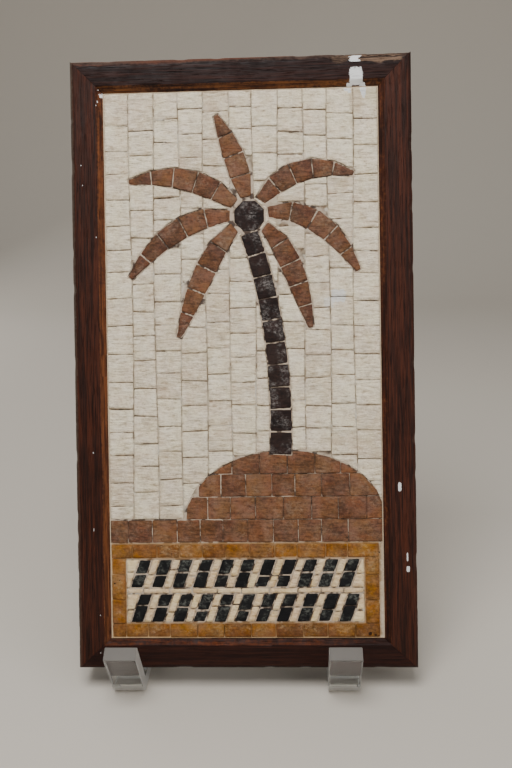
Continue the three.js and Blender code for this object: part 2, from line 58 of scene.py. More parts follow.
# Frame and bed, as in the solids
FRAME_DEPTH = 22 * MM
REBATE_WIDTH = 5 * MM
REBATE_DEPTH = 14 * MM
ROUND_OVER = 2.6
TOP_ROUND_OVER = 4.2
MITRE_GAP = 0.06 * MM
BEVEL_WIDTH = 3 * MM
BEVEL_DROP = 2.2 * MM
PIECE_GAP = 0.3 * MM
MORTAR_FACE = 18.8 * MM
STONE_FACE = 20 * MM

# Clear stand, as in the solid
SHEET = 7 * MM
LIP_ANGLE = math.radians(29)
LIP_LENGTH = 32.6 * MM
BEND_RADIUS = 0.8 * MM
TOP_BEND_RADIUS = 6 * MM
BACK_LENGTH = 150 * MM
LEG_SLANT = math.radians(20)
SLOT_HEIGHT = 37 * MM
ARM_WIDTH = 15.8 * MM

# How the stand is divided and finished
BEND_STEPS = 12
# How far up the lip the front bend's painted highlight reaches, and the finishes: polished, sawn, and rubbed
# sides whose milky finish also paints the bend's highlight
BEND_HIGHLIGHT_REACH = 3 * MM
POLISHED_FACE, SAWN_END, RUBBED_SIDE_AND_HIGHLIGHT = 0, 1, 2

# Camera, solved from the photograph's corners and the stand's edges
CAMERA_PLACE = (24.2 * MM, -415.9 * MM, 270.1 * MM)
CAMERA_TURN = tuple(math.radians(angle) for angle in (73.351, 1.478, 2.110))
CAMERA_LENS = 39.58
SENSOR = 36.0


def srgb(red, green, blue):
    """A colour judged from 0 to 255, as the linear colour that a shader takes."""
    shares = np.array([red, green, blue]) / 255
    linear = np.where(shares <= 0.04045, shares / 12.92, ((shares + 0.055) / 1.055) ** 2.4)
    return (*linear.tolist(), 1.0)


# Points, noise and meshes


def points_of(name):
    """A node's vertices as an array."""
    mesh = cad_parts[name].data
    points = np.empty(len(mesh.vertices) * 3)
    mesh.vertices.foreach_get("co", points)
    return points.reshape(-1, 3)


def panel_foot():
    """The panel's lower back edge, on its middle line: the lowest points of the bottom rail."""
    points = points_of("frame_bottom_rail")
    lowest = points[points[:, 2] < points[:, 2].min() + 0.001 * MM]
    return np.array([0, lowest[:, 1].mean(), lowest[:, 2].mean()])


FOOT = panel_foot()


def to_panel(points):
    """Points in the room, as distances across, up and out of the panel."""
    return (points - FOOT) @ AXES.T


def from_panel(points):
    """Distances across, up and out of the panel, as points in the room."""
    return FOOT + points @ AXES


def panel_box(name):
    """A node's lowest and highest distances across, up and out of the panel."""
    places = to_panel(points_of(name))
    return places.min(0), places.max(0)


def frame_boxes():
    """The boxes of the left and right stile and of the bottom and top rail."""
    return [panel_box(f"frame_{name}") for name in ("left_stile", "right_stile", "bottom_rail", "top_rail")]


def picture_opening():
    """The lowest and highest distances across and up that show inside the frame."""
    left, right, bottom, top = frame_boxes()
    return np.array([left[1][0], bottom[1][1]]), np.array([right[0][0], top[0][1]])


PICTURE = picture_opening()
FRONDS = sorted(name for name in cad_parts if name.startswith("frond_"))
STROKES = sorted(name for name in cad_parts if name.startswith("dark_stroke_"))


def lattice(column, row, seed):
    """A repeatable number from -1 to 1 for each whole-number place, by mixing its digits."""
    mixed = (column * 374761393 + row * 668265263 + seed * 2246822519) & 0xFFFFFFFF
    mixed = ((mixed ^ (mixed >> 13)) * 1274126177) & 0xFFFFFFFF
    return ((mixed ^ (mixed >> 16)) & 0xFFFF) / 32767.5 - 1


def noise(across, up, seed):
    """Smooth noise from -1 to 1: the four lattice numbers round a place, blended by eased shares."""
    column = np.floor(across).astype(np.int64)
    row = np.floor(up).astype(np.int64)
    x = across - column
    y = up - row
    x = x * x * (3 - 2 * x)
    y = y * y * (3 - 2 * y)
    low = lattice(column, row, seed) * (1 - x) + lattice(column + 1, row, seed) * x
    high = lattice(column, row + 1, seed) * (1 - x) + lattice(column + 1, row + 1, seed) * x
    return low * (1 - y) + high * y


def layered(across, up, seed):
    """Noise with two finer layers on it, each twice as fine and half as strong as the last."""
    total = np.zeros(np.broadcast(across, up).shape)
    for layer in range(3):
        total = total + noise(across * 2**layer, up * 2**layer, seed + 17 * layer) / 2**layer
    return total


def eased(values, start, end):
    """0 before start, 1 after end and a smooth rise between them."""
    share = np.clip((values - start) / (end - start), 0, 1)
    return share * share * (3 - 2 * share)


def add_object(name, data, place=(0, 0, 0), turn=(0, 0, 0)):
    """An object in the scene that holds the data, placed and turned."""
    thing = bpy.data.objects.new(name, data)
    thing.location = place
    thing.rotation_euler = turn
    bpy.context.scene.collection.objects.link(thing)
    return thing


def make_piece(name, points, faces, sharp_angle, attributes=None, finishes=None):
    """A mesh object from an array of points and arrays of faces, each array with its own corner count."""
    mesh = bpy.data.meshes.new(name)
    faces = [np.asarray(each) for each in faces]
    corners = np.concatenate([each.ravel() for each in faces]).astype(np.int32)
    counts = np.concatenate([np.full(len(each), each.shape[1]) for each in faces])
    starts = np.concatenate([[0], np.cumsum(counts)[:-1]]).astype(np.int32)
    mesh.vertices.add(len(points))
    mesh.vertices.foreach_set("co", np.asarray(points, np.float32).ravel())
    mesh.loops.add(len(corners))
    mesh.loops.foreach_set("vertex_index", corners)
    mesh.polygons.add(len(starts))
    mesh.polygons.foreach_set("loop_start", starts)
    if finishes is not None:
        chosen = np.concatenate([np.full(len(each), finish) for each, finish in zip(faces, finishes)])
        mesh.polygons.foreach_set("material_index", chosen.astype(np.int32))
    mesh.update(calc_edges=True)
    for key, values in (attributes or {}).items():
        values = np.asarray(values, np.float32)
        if values.ndim == 1:
            mesh.attributes.new(key, "FLOAT", "POINT").data.foreach_set("value", values)
        else:
            mesh.attributes.new(key, "FLOAT_VECTOR", "POINT").data.foreach_set("vector", values.ravel())
    mesh.shade_smooth()
    mesh.set_sharp_from_angle(angle=math.radians(sharp_angle))
    return add_object(name, mesh)


def place_piece(piece, slot, node, *materials):
    """The piece takes its finishes, stands for its node and rides with the object's one body."""
    for material in materials:
        piece.data.materials.append(material)
    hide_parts(node)
    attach(piece, "root")


def strip_faces(rows, columns, closed=True):
    """Quads between neighbouring rows of a grid of points, joined end to start if closed."""
    row = np.arange(rows - 1)[:, None]
    column = np.arange(columns if closed else columns - 1)[None, :]
    following = (column + 1) % columns
    quads = [row * columns + column, row * columns + following,
             (row + 1) * columns + following, (row + 1) * columns + column]
    return np.stack(np.broadcast_arrays(*quads), -1).reshape(-1, 4)


# Materials


class Steps:
    """A node tree that is written one step after another."""

    def __init__(self, tree):
        self.tree = tree

    def add(self, kind, inputs=None, **settings):
        """A node with its settings, its inputs given as numbers, colours or other nodes' outputs."""
        node = self.tree.nodes.new(kind)
        for key, value in settings.items():
            setattr(node, key, value)
        for key, value in (inputs or {}).items():
            if isinstance(value, bpy.types.NodeSocket):
                self.tree.links.new(value, node.inputs[key])
            else:
                node.inputs[key].default_value = value
        return node

    def link(self, results, sockets):
        """Each result joined to the socket of its name."""
        for key, value in results.items():
            self.tree.links.new(value, sockets[key])

    def math(self, operation, first, second=0.0, clamp=False):
        node = self.add("ShaderNodeMath", {0: first, 1: second}, operation=operation, use_clamp=clamp)
        return node.outputs[0]

    def plus(self, first, second, clamp=False):
        return self.math("ADD", first, second, clamp)

    def minus(self, first, second):
        return self.math("SUBTRACT", first, second)

    def times(self, first, second, clamp=False):
        return self.math("MULTIPLY", first, second, clamp)

    def vectors(self, operation, first, second):
        return self.add("ShaderNodeVectorMath", {0: first, 1: second}, operation=operation).outputs[0]

    def mix(self, share, first, second):
        """One colour laid over another by a share from 0 to 1."""
        return self.add("ShaderNodeMix", {0: share, 6: first, 7: second}, data_type="RGBA").outputs[2]

    def noise(self, place, scale, detail=3.0, roughness=0.5, distortion=0.0):
        """Noise from 0 to 1, at one scale or at a scale for each direction."""
        if isinstance(scale, tuple):
            place = self.add("ShaderNodeMapping", {"Vector": place, "Scale": scale}).outputs[0]
            scale = 1.0
        inputs = {"Vector": place, "Scale": scale, "Detail": detail, "Roughness": roughness,
                  "Distortion": distortion}
        return self.add("ShaderNodeTexNoise", inputs).outputs[0]

    def between(self, value, start, end, low=0.0, high=1.0):
        """The value spread smoothly from low at start to high at end."""
        inputs = {"Value": value, "From Min": start, "From Max": end, "To Min": low, "To Max": high}
        return self.add("ShaderNodeMapRange", inputs, interpolation_type="SMOOTHSTEP").outputs[0]

    def attribute(self, name, output="Fac"):
        return self.add("ShaderNodeAttribute", attribute_name=name).outputs[output]

    def bump(self, height, distance):
        return self.add("ShaderNodeBump", {"Height": height, "Distance": distance}).outputs[0]


def new_group(name, inputs, outputs):
    """An effect that several materials share, with its named sockets. Returns its steps, start and end."""
    tree = bpy.data.node_groups.new(name, "ShaderNodeTree")
    kinds = {"colour": "NodeSocketColor", "vector": "NodeSocketVector", "value": "NodeSocketFloat"}
    for key, kind in inputs.items():
        tree.interface.new_socket(name=key, in_out="INPUT", socket_type=kinds[kind])
    for key, kind in outputs.items():
        tree.interface.new_socket(name=key, in_out="OUTPUT", socket_type=kinds[kind])
    steps = Steps(tree)
    return steps, steps.add("NodeGroupInput").outputs, steps.add("NodeGroupOutput").inputs


def blot_group():
    """A ragged spot: the fourth root of the shares of its reach, each to the fourth, summed, plus noise."""
    steps, given, ends = new_group(
        "ragged_blot",
        {"Place": "vector", "Middle": "vector", "Reach": "vector", "Ragged": "value", "Scale": "value"},
        {"Mask": "value"},
    )
    offset = steps.vectors("SUBTRACT", given["Place"], given["Middle"])
    shares = steps.vectors("DIVIDE", offset, given["Reach"])
    squares = steps.vectors("MULTIPLY", shares, shares)
    far = steps.add("ShaderNodeVectorMath", {0: squares}, operation="LENGTH").outputs["Value"]
    far = steps.math("SQRT", far)
    rough = steps.noise(given["Place"], given["Scale"], 4, 0.65)
    edge = steps.plus(far, steps.times(steps.minus(rough, 0.5), given["Ragged"]))
    steps.link({"Mask": steps.between(edge, 1, 0.86)}, ends)
    return steps.tree


BLOT = blot_group()


def blot(steps, place, middle, reach, ragged=1.2):
    """The mask of one ragged spot, its middle and reach in millimetres across, up and out of the panel."""
    inputs = {"Place": place, "Middle": [value * MM for value in middle],
              "Reach": [value * MM for value in reach], "Ragged": ragged,
              "Scale": float(np.clip(900 / min(reach), 700, 3000))}
    return steps.add("ShaderNodeGroup", inputs, node_tree=BLOT).outputs["Mask"]


def split_stone_group():
    """A split stone face: each stone its own tone, grains and pits on it, settled dust, painted light along
    its ridges, and painted shade in each groove, in the low places of its face and round its edges.
    """
    steps, given, ends = new_group(
        "split_stone",
        {"Pale": "colour", "Deep": "colour", "Speck and groove shade": "colour", "Dust": "colour", "Edge and hollow shade": "colour",
         "Speckled": "value", "Dusty": "value", "Coarseness": "value"},
        {"Color": "colour", "Roughness": "value", "Normal": "vector"},
    )
    place = steps.attribute("panel", "Vector")
    tone = steps.attribute("tone")
    edge_hollow_shade = steps.attribute("edge_hollow_shade")
    cloud = steps.noise(place, 170, 4, 0.6)
    fine = steps.noise(place, 780, 4, 0.75)
    ridges = steps.noise(place, (190, 820, 500), 5, 0.68, 0.3)
    # Colour follows the ridges of the bump: painted light on their tops and painted shade where they dip.
    ridge_light_and_shade = steps.times(steps.minus(ridges, 0.5), given["Coarseness"])
    share = steps.plus(steps.times(tone, 0.26), steps.times(cloud, 0.9))
    share = steps.plus(share, steps.times(fine, 1.3))
    share = steps.plus(share, steps.times(ridge_light_and_shade, 1.7))
    colour = steps.mix(steps.between(share, 0.78, 1.67), given["Deep"], given["Pale"])
    # Painted shade in each groove between the ridges, in the speck colour.
    groove_shade = steps.times(steps.between(ridges, 0.44, 0.3), given["Coarseness"], clamp=True)
    colour = steps.mix(steps.times(groove_shade, 0.7), colour, given["Speck and groove shade"])
    spots = steps.between(steps.noise(place, 1100, 2, 0.5), 0.62, 0.74)
    colour = steps.mix(steps.times(spots, given["Speckled"]), colour, given["Speck and groove shade"])
    crumbled = steps.noise(place, (560, 760, 560), 7, 0.8, 0.2)
    patches = steps.between(steps.noise(place, 115, 3, 0.6), 0.46, 0.62)
    settled = steps.times(steps.between(crumbled, 0.44, 0.66), patches)
    settled = steps.times(settled, given["Dusty"], clamp=True)
    colour = steps.mix(settled, colour, given["Dust"])
    # Painted shade round each stone's edge and in the low places of its split face, mottled a little.
    rim = steps.times(edge_hollow_shade, steps.between(steps.noise(place, 240, 3), 0.4, 0.62, 0.15, 0.75))
    colour = steps.mix(rim, colour, given["Edge and hollow shade"])
    hue = steps.plus(steps.between(steps.noise(place, 105, 3, 0.6), 0.3, 0.7, 0.491, 0.505),
                     steps.times(tone, 0.005))
    rich = steps.between(steps.noise(place, 140, 3, 0.6), 0.3, 0.7, 1.08, 0.92)
    drifted = steps.add("ShaderNodeHueSaturation", {"Hue": hue, "Saturation": rich, "Color": colour})
    colour = drifted.outputs["Color"]
    height = steps.plus(steps.times(ridges, 0.7), steps.times(fine, 0.3))
    height = steps.times(height, given["Coarseness"])
    steps.link({
        "Color": colour,
        "Roughness": steps.between(fine, 0.3, 0.7, 0.72, 0.95),
        "Normal": steps.bump(height, 1.3 * MM),
    }, ends)
    return steps.tree


SPLIT_STONE = split_stone_group()


def new_material(name, constants):
    """A material whose shader has some constants, the steps to build it by, and the shader's sockets."""
    material = bpy.data.materials.new(name)
    material.use_nodes = True
    sockets = material.node_tree.nodes["Principled BSDF"].inputs
    for key, value in constants.items():
        sockets[key].default_value = value
    return material, Steps(material.node_tree), sockets


PAINT = srgb(226, 226, 224)


def marked(steps, place, colour, marks):
    """A colour with marks laid over it, each a ragged spot with its own strength and colour."""
    for middle, reach, amount, mark in marks:
        mask = blot(steps, place, (*middle, STONE_FACE / MM), (*reach, 4))
        colour = steps.mix(steps.times(mask, amount), colour, mark)
    return colour


def stone_material(name, colours, speckled, dusty, coarseness, marks=()):
    """One colour of stone, its colours given as pale, deep, speck and groove shade, dust, and the painted
    shade round its edges and in its dips, with marks laid over it.
    """
    material, steps, sockets = new_material(name, {"Specular IOR Level": 0.2})
    inputs = {"Speckled": speckled, "Dusty": dusty, "Coarseness": coarseness}
    for key, colour in zip(("Pale", "Deep", "Speck and groove shade", "Dust", "Edge and hollow shade"), colours):
        inputs[key] = srgb(*colour)
    face = steps.add("ShaderNodeGroup", inputs, node_tree=SPLIT_STONE).outputs
    colour = marked(steps, steps.attribute("panel", "Vector"), face["Color"], marks)
    steps.link({"Base Color": colour, "Roughness": face["Roughness"], "Normal": face["Normal"]}, sockets)
    return material


def wood_material(name, *colours):
    """Stained wood: long grain, a redder streak, a worn bevel, an outer edge with scuffs and painted sheen,
    raw chips and drips of white paint.

    Its colours are the deep, the streak's and the worn one, and a grey and a red one for the scuffs and
    painted sheen of the outer edge."""
    deep, streak, worn, grey_graze_sheen, red_graze_sheen = (srgb(*colour) for colour in colours)
    material, steps, sockets = new_material(name, {"Specular IOR Level": 0.14})
    grain_place = steps.attribute("grain", "Vector")
    place = steps.attribute("panel", "Vector")
    long_grain = steps.noise(grain_place, (38, 1100, 1100), 5, 0.62)
    broad_grain = steps.noise(grain_place, (12, 300, 300), 3, 0.55, 0.6)
    pores = steps.between(steps.noise(grain_place, (90, 2600, 2600), 2), 0.58, 0.7)
    streaks = steps.plus(steps.times(long_grain, 0.75), steps.times(broad_grain, 0.35))
    streaks = steps.between(streaks, 0.44, 0.7)
    colour = steps.mix(streaks, deep, streak)
    colour = steps.mix(steps.times(pores, 0.65), colour, srgb(20, 11, 9))
    patchy = steps.minus(steps.noise(place, 420, 5, 0.7), 0.5)
    patchy = steps.plus(steps.times(patchy, 1.1), steps.times(broad_grain, 0.7))
    patchy = steps.minus(patchy, 0.35)
    wear = steps.attribute("wear")
    rubbed = steps.between(steps.plus(wear, patchy), 0.35, 0.8)
    rubbed = steps.times(rubbed, steps.between(wear, 0, 0.2))
    colour = steps.mix(rubbed, colour, steps.mix(steps.between(long_grain, 0.3, 0.7), srgb(52, 28, 19), worn))
    # The outer rounded edge: partly scuffs and partly painted sheen, in grey and red.
    scuff_and_sheen = steps.attribute("scuff_and_sheen")
    scuffed_and_sheen = steps.between(steps.plus(scuff_and_sheen, patchy), 0.3, 0.85)
    scuffed_and_sheen = steps.times(scuffed_and_sheen, steps.between(scuff_and_sheen, 0, 0.2))
    graze_and_sheen = steps.mix(steps.between(broad_grain, 0.42, 0.58), grey_graze_sheen, red_graze_sheen)
    colour = steps.mix(scuffed_and_sheen, colour, graze_and_sheen)
    ragged = steps.noise(grain_place, (260, 1300, 1300), 5, 0.75)
    ragged = steps.times(steps.minus(ragged, 0.5), 1.5)
    raw = steps.between(steps.plus(steps.attribute("raw"), ragged), 0.24, 0.78)
    bared = steps.mix(steps.between(long_grain, 0.42, 0.58), srgb(46, 33, 27), srgb(116, 93, 76))
    bared = steps.mix(steps.between(broad_grain, 0.5, 0.62), bared, srgb(104, 68, 44))
    colour = steps.mix(raw, colour, bared)
    painted = None
    for middle, reach, ragged in PAINT_ON_WOOD:
        mask = blot(steps, place, middle, reach, ragged)
        painted = mask if painted is None else steps.math("MAXIMUM", painted, mask)
    colour = steps.mix(painted, colour, PAINT)
    height = steps.minus(steps.times(long_grain, 0.7), pores)
    shine = steps.between(steps.noise(place, 160, 4, 0.6), 0.3, 0.7, 0.44, 0.64)
    dulled = steps.math("MAXIMUM", steps.math("MAXIMUM", rubbed, scuffed_and_sheen), raw)
    rough = steps.plus(shine, steps.times(dulled, 0.2))
    steps.link({
        "Base Color": colour,
        "Roughness": steps.plus(rough, steps.times(painted, 0.2), clamp=True),
        "Normal": steps.bump(height, 0.16 * MM),
    }, sockets)
    return material


def mortar_material():
    """Sandy mortar: cream with dark hairlines in its joints, partly dirt and partly painted shade, pale lime
    with patches of painted shadow round the tree, and ochre in the border.
    """
    material, steps, sockets = new_material("sandy_mortar", {"Roughness": 0.95})
    place = steps.attribute("panel", "Vector")
    sand = steps.noise(place, 2600, 2, 0.6)
    cloud = steps.noise(place, 90, 5, 0.65)
    sidelong = steps.attribute("sidelong")
    # Dark hairlines, partly dirt and partly painted shade: darker in the level joints under the stones above,
    # paler in the upright ones.
    dirt_and_joint_shade = steps.noise(place, 135, 3, 0.6)
    dirt_and_joint_shade = steps.between(steps.minus(dirt_and_joint_shade, steps.times(sidelong, 0.06)), 0.4, 0.52)
    cream = steps.mix(steps.between(cloud, 0.35, 0.68), srgb(186, 174, 152), srgb(214, 205, 190))
    strewn = steps.between(steps.noise(place, 300, 2), 0.4, 0.62)
    hairline = steps.mix(strewn, srgb(66, 52, 40), srgb(128, 108, 86))
    hairline = steps.mix(steps.times(sidelong, 0.6), hairline, srgb(158, 144, 122))
    lined = steps.mix(dirt_and_joint_shade, cream, hairline)
    # Round the tree the joints are pale lime, with patches of painted shadow where the noise picks them.
    shaded = steps.between(steps.noise(place, 210, 3), 0.5, 0.6)
    lime_and_shadow = steps.mix(shaded, srgb(186, 168, 148), srgb(74, 60, 52))
    greyed = steps.mix(steps.attribute("by_tree"), lined, lime_and_shadow)
    by_border = steps.attribute("by_border")
    colour = steps.mix(by_border, greyed, srgb(154, 114, 68))
    edging = steps.mix(by_border, srgb(198, 176, 148), srgb(188, 152, 106))
    colour = steps.mix(steps.attribute("by_frame"), colour, edging)
    trowelled = steps.mix(cloud, srgb(122, 116, 104), srgb(168, 162, 148))
    colour = steps.mix(steps.attribute("behind"), colour, trowelled)
    colour = steps.mix(steps.between(sand, 0.5, 0.75, 0, 0.4), colour, srgb(120, 104, 84))
    colour = marked(steps, place, colour, PITS)
    height = steps.plus(steps.times(sand, 0.5), steps.noise(place, 700, 3, 0.6))
    steps.link({"Base Color": colour, "Normal": steps.bump(height, 0.3 * MM)}, sockets)
    return material


def acrylic_material(name, tint, roughness, clear):
    """Clear sheet: polished on its faces, and sawn or rubbed milky on its ends."""
    material, steps, sockets = new_material(name, {
        "Base Color": tint, "Transmission Weight": clear, "IOR": 1.49, "Specular IOR Level": 0.3,
    })
    place = steps.add("ShaderNodeTexCoord").outputs["Object"]
    scuffs = steps.noise(place, (300, 90, 90), 6, 0.7)
    steps.link({"Roughness": steps.between(scuffs, 0.5, 0.8, roughness, roughness + 0.12)}, sockets)
    return material


# Marks that the photograph shows, as middle and reach in millimetres: on wood across, up and out of the
# panel, and how ragged, and on stone and mortar across and up, and how strong and of what colour
PAINT_ON_WOOD = (
    ((56, 305.2, 19), (4.2, 0.55, 4), 0.5),
    ((57.3, 303.2, 21), (3.4, 0.6, 5), 1.3),
    ((57, 301.9, 21), (2.2, 1, 5), 1.3),
    ((57.2, 300.7, 21), (3, 0.6, 5), 1.2),
    ((57.8, 293.3, 22), (3.5, 4.4, 5), 0.6),
    ((54.6, 289.2, 21), (1.4, 0.9, 4), 1.2),
    ((61, 289.4, 21), (1.4, 0.9, 4), 1.8),
    ((-75.8, 108.7, 22), (0.25, 0.4, 4), 2.2),
    ((76.6, 90.3, 22), (0.85, 2.3, 4), 0.7),
    ((80.3, 49.6, 22), (0.8, 1.5, 4), 0.7),
    ((80, 55.5, 22), (0.35, 2.2, 4), 1),
    ((-79.6, 252.5, 22), (0.22, 0.3, 4), 1.2),
    ((-79, 242.5, 22), (0.2, 0.3, 4), 1.6),
    ((-72.5, 216.5, 22), (0.2, 0.3, 4), 1.6),
    ((-76.2, 70, 22), (0.12, 0.8, 4), 1.4),
    ((-73.6, 27, 22), (0.15, 0.3, 4), 1.8),
    ((-73.8, 8, 22), (0.15, 0.25, 4), 1.8),
    ((-69.4, 287.6, 20), (0.9, 1, 4), 2.6),
    ((-71, 284.2, 21), (0.2, 0.5, 4), 2.4),
    ((-71.6, 282.2, 21), (0.12, 0.35, 4), 2.4),
    ((-70.6, 290, 21), (0.35, 0.14, 4), 2.4),
)
PAINT_ON_CREAM = (
    ((57.4, 282), (3.2, 6.5), 0.6, srgb(196, 176, 148)),
    ((65.5, 284.5), (3.4, 3.2), 0.5, srgb(196, 184, 150)),
    ((53.6, 287.6), (1.7, 1.1), 0.95, PAINT),
    ((54.6, 286.2), (0.8, 0.9), 0.95, PAINT),
    ((61.2, 287), (1.6, 1.9), 0.95, PAINT),
    ((61.4, 285.2), (1.2, 1.4), 0.95, PAINT),
    ((61.5, 284), (0.7, 1.2), 0.9, PAINT),
    ((47.8, 185.4), (3.8, 3.3), 0.7, PAINT),
    ((43, 182), (2.6, 2.8), 0.45, PAINT),
)
DIRT = srgb(30, 18, 10)
PITS = (
    ((61.3, 16.9), (0.9, 0.9), 1, DIRT),
    ((64, 16.3), (0.6, 0.5), 1, DIRT),
    ((-67.4, 279), (0.8, 0.5), 0.8, DIRT),
    ((-40.5, 268), (0.5, 1.4), 0.8, DIRT),
    ((-66.5, 42.5), (0.5, 0.4), 0.9, DIRT),
    ((-64, 44), (0.3, 0.3), 0.9, DIRT),
    ((66.4, 57.5), (0.4, 0.4), 0.9, DIRT),
)
# The pits, and over the ochre border's lower part a broad darker patch of painted shade.
PITS_AND_LOW_SHADE = PITS + (((0.0, 13.5), (72.0, 5.5), 0.3, srgb(84, 48, 18)),)

CREAM = stone_material(
    "split_cream_stone",
    ((248, 234, 208), (206, 188, 162), (150, 130, 104), (236, 226, 208), (146, 124, 98)),
    0.35, 0.3, 1.0, PAINT_ON_CREAM)
WARM_CREAM = stone_material(
    "split_warm_cream_stone",
    ((246, 220, 178), (208, 178, 134), (150, 124, 92), (238, 222, 194), (146, 118, 86)),
    0.3, 0.3, 0.8)
TERRACOTTA = stone_material(
    "split_terracotta_stone",
    ((128, 88, 65), (68, 45, 33), (58, 39, 30), (164, 138, 116), (58, 43, 34)),
    0.55, 0.4, 0.6)
BROWN = stone_material(
    "split_brown_stone",
    ((134, 92, 66), (78, 51, 35), (64, 43, 33), (166, 138, 114), (62, 46, 36)),
    0.55, 0.35, 0.6)
DARK = stone_material(
    "split_dark_stone",
    ((54, 39, 35), (22, 15, 14), (16, 12, 12), (136, 130, 126), (20, 14, 13)),
    0.3, 0.8, 0.4)
BLACK = stone_material(
    "split_black_stone",
    ((28, 27, 28), (11, 11, 12), (8, 8, 9), (118, 120, 112), (12, 11, 11)),
    0.3, 0.7, 0.4)
OCHRE = stone_material(
    "split_ochre_stone",
    ((154, 103, 51), (85, 52, 20), (70, 42, 20), (190, 160, 118), (84, 56, 30)),
    0.5, 0.45, 0.35, PITS_AND_LOW_SHADE)
STILE_WOOD = wood_material(
    "stained_wood", (38, 21, 16), (74, 37, 24), (120, 70, 40), (82, 70, 60), (74, 52, 42))
# The top and bottom rails take darker copies of the stained wood as painted shade, the top rail's with a
# redder painted sheen on its outer edge.
TOP_WOOD_SHADED = wood_material(
    "stained_wood_top_shaded", (25, 14, 12), (50, 26, 20), (122, 76, 42), (78, 60, 52), (98, 57, 42))
BOTTOM_WOOD_SHADED = wood_material(
    "stained_wood_low_shaded", (32, 15, 11), (52, 26, 18), (108, 56, 30), (60, 40, 30), (70, 40, 28))
MORTAR = mortar_material()
POLISHED = acrylic_material("clear_acrylic", (0.96, 0.98, 0.975, 1), 0.012, 1.0)
# The sawn ends take a dark brown tint of painted shade over their milky finish.
SAWN_SHADED = acrylic_material("sawn_acrylic_shaded", (0.2, 0.18, 0.16, 1), 0.5, 0.4)
# A rubbed milky finish for the sides, and on the outside of each front bend a painted highlight.
EDGED_AND_HIGHLIGHT = acrylic_material("edged_and_highlight_acrylic", (0.88, 0.86, 0.83, 1), 0.3, 0.66)


# Stones
# Points closer than this are one place, and faces more level than this are level
SAME_PLACE = 0.002 * MM


def stone_faces(name):
    """Each stone's face in a node: its outline, anticlockwise, in the panel's plane, and its height."""
    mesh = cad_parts[name].data
    corners = np.empty(len(mesh.polygons) * 3, np.int64)
    mesh.polygons.foreach_get("vertices", corners)
    triangles = to_panel(points_of(name))[corners].reshape(-1, 3, 3)
    level = np.ptp(triangles[..., 2], axis=1) < SAME_PLACE
    on_top = triangles[..., 2].mean(1) > MORTAR_FACE + 0.1 * MM
    triangles = triangles[level & on_top]
    keys = np.round(triangles.reshape(-1, 3) / SAME_PLACE).astype(np.int64)
    _, first, index = np.unique(keys, axis=0, return_index=True, return_inverse=True)
    places = triangles.reshape(-1, 3)[first]
    index = index.reshape(-1, 3)
    edges = {(a, b) for tri in index.tolist() for a, b in zip(tri, tri[1:] + tri[:1])}
    following = {a: b for a, b in edges if (b, a) not in edges}
    faces = []
    while following:
        start, corner = following.popitem()
        loop = [start]
        while corner != start:
            loop.append(corner)
            corner = following.pop(corner)
        faces.append((places[loop, :2], places[loop, 2].mean()))
    return sorted(faces, key=lambda face: tuple(face[0].mean(0).round(6)))


STONES = {
    node: stone_faces(node)
    for node in ("cream_field", "plaque_ground", "terracotta_ground", "palm_trunk", "palm_crown",
                 "ochre_border", *FRONDS, *STROKES)
}


def sides_of(outline):
    """The way from each point of a closed outline to the next."""
    return np.roll(outline, -1, axis=0) - outline


def lengths(ways):
    return np.hypot(ways[:, 0], ways[:, 1])


def divided(outline, pitch):
    """A closed outline with its sides divided, as points about a pitch apart."""
    sides = sides_of(outline)
    parts = np.maximum(1, np.round(lengths(sides) / pitch).astype(int))
    return np.concatenate([
        corner + side * np.arange(part)[:, None] / part for corner, side, part in zip(outline, sides, parts)
    ])


def softened(outline):
    """A closed outline with its corners eased: each point is drawn a little towards its neighbours."""
    return outline * 0.84 + (np.roll(outline, 1, axis=0) + np.roll(outline, -1, axis=0)) * 0.08


def outward(outline):
    """The step at each point of an anticlockwise outline that moves both its sides outwards by one."""
    side = sides_of(outline)
    off = np.stack([side[:, 1], -side[:, 0]], -1) / np.maximum(lengths(side), 1e-9)[:, None]
    before = np.roll(off, 1, axis=0)
    return (off + before) / np.maximum(1 + (off * before).sum(-1), 0.8)[:, None]


def nearest_side(points, outline):
    """How far each point lies, across and up, from the nearest place on an outline."""
    side = sides_of(outline)
    offset = points[:, None] - outline
    along = (offset * side).sum(-1) / np.maximum((side * side).sum(-1), 1e-18)
    away = offset - side * np.clip(along, 0, 1)[..., None]
    return away[np.arange(len(points)), (away ** 2).sum(-1).argmin(1)]


def inside_depth(points, outline):
    """How far each point lies inside an outline: the distance to its nearest side, minus when outside."""
    away = nearest_side(points, outline)
    ahead = np.roll(outline, -1, axis=0)
    side = ahead - outline
    over = (outline[:, 1] > points[:, None, 1]) != (ahead[:, 1] > points[:, None, 1])
    rise = np.where(side[:, 1] == 0, 1e-18, side[:, 1])
    crossing = outline[:, 0] + (points[:, None, 1] - outline[:, 1]) * side[:, 0] / rise
    crossed = (over & (points[:, None, 0] < crossing)).sum(1) % 2 == 1
    return np.where(crossed, 1, -1) * lengths(away)


def split_face(across, up, seed, turn):
    """A split face from -1 to 1: long ridges that lean a little, finer crumbs, a slope and a broken step."""
    along = across * math.cos(turn) + up * math.sin(turn)
    over = up * math.cos(turn) - across * math.sin(turn)
    shift = 37.7 * seed
    ridges = layered(along / (6.5 * MM) + shift, over / (1.5 * MM), 3) * 0.42
    crumbs = noise(across / (1.1 * MM), up / (0.9 * MM), 9) * 0.2
    slope = noise(across / (14 * MM) + shift, up / (14 * MM), 21) * 0.45
    step = eased(noise(along / (8 * MM) + shift, over / (3.6 * MM), 5), 0.1, 0.25) * 0.4
    return ridges + crumbs + slope + step - 0.2


